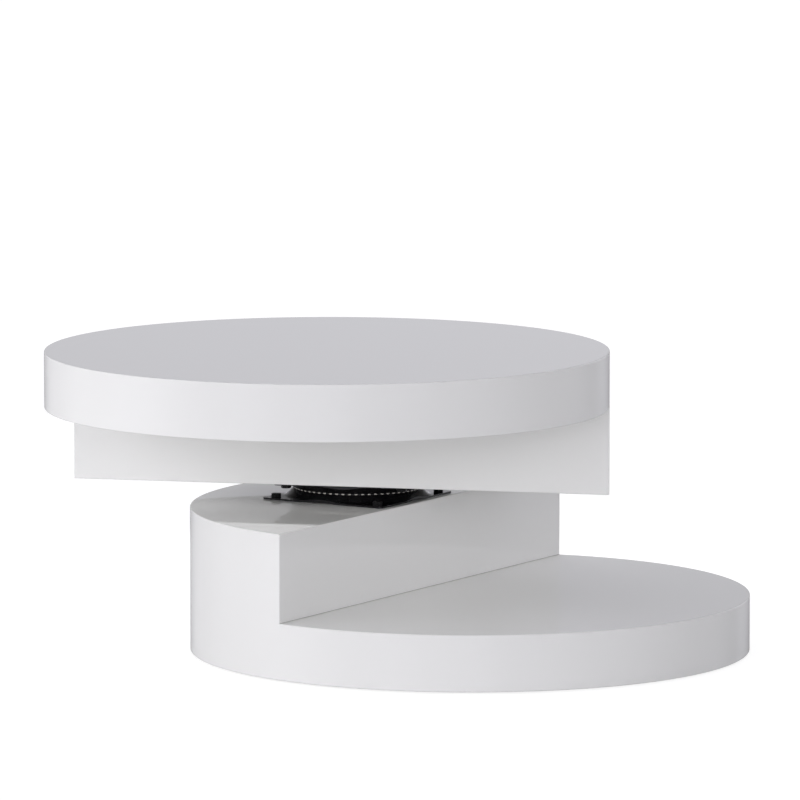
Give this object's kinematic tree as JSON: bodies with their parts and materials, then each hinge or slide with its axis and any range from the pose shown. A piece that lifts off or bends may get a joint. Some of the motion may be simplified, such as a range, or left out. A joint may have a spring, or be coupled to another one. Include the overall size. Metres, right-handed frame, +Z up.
{
  "type": "swivel coffee table",
  "caption": "Round two-tier coffee table: the upper slab and its hanging block swivel off-centre on a ball-bearing plate above a matching slab with a raised block and open shelf.",
  "frame": {"origin": "on the floor under the centre of the lower tier, where the middle floor pad stands", "axes": "+Z up; +X from the lower block across the open shelf; the swivel axis is vertical through (-0.188, 0)"},
  "size_m": [0.9299, 0.9788, 0.443],
  "materials": {
    "lacquered_board": "white high-gloss polyester lacquer on MDF",
    "raw_board": "raw sawn MDF",
    "black_steel": "black stove-enamelled pressed steel",
    "bolt_steel": "black oxide steel",
    "zinc_steel": "zinc plated steel",
    "cage_steel": "blackened steel strip",
    "ball_steel": "polished bearing steel",
    "bronze": "turned bronze",
    "felt": "pressed felt"
  },
  "bodies": {
    "base": {"base_bottom_panel": "lacquered_board", "base_rim": "lacquered_board", "base_long_ribs": "raw_board", "base_cross_ribs": "raw_board", "shelf_panel": "lacquered_board", "riser_panel": "lacquered_board", "lower_block_wall": "lacquered_board", "lower_block_ribs": "raw_board", "lower_block_top": "lacquered_board", "lower_bearing_board": "raw_board", "lower_inserts": "zinc_steel", "riser_screws": "zinc_steel", "bottom_screws": "zinc_steel", "floor_pads": "felt", "lower_bearing_plate": "black_steel", "lower_plate_bolts": "bolt_steel", "kingpin": "bolt_steel", "thrust_washer": "bronze", "retaining_washer": "zinc_steel"},
    "ball_ring": {"ball_cage": "cage_steel", "bearing_balls": "ball_steel"},
    "top": {"tabletop_panel": "lacquered_board", "top_rim": "lacquered_board", "underside_panel": "lacquered_board", "hanging_block_face": "lacquered_board", "upper_block_wall": "lacquered_board", "upper_block_floor": "lacquered_board", "top_long_ribs": "raw_board", "top_cross_ribs": "raw_board", "upper_block_ribs": "raw_board", "upper_bearing_board": "raw_board", "upper_inserts": "zinc_steel", "face_screws": "zinc_steel", "upper_bearing_plate": "black_steel", "upper_plate_bolts": "bolt_steel"}
  },
  "joints": [
    {"name": "top_swivel", "type": "hinge", "parent": "base", "child": "top", "pos_m": [-0.188, 0, 0.223], "axis": [0, 0, 1], "continuous": true},
    {"name": "ball_ring_spin", "type": "hinge", "parent": "base", "child": "ball_ring", "pos_m": [-0.188, 0, 0.223], "axis": [0, 0, 1], "continuous": true}
  ],
  "couplings": [
    {"joint": "ball_ring_spin", "follows": "top_swivel", "ratio": 0.5}
  ]
}
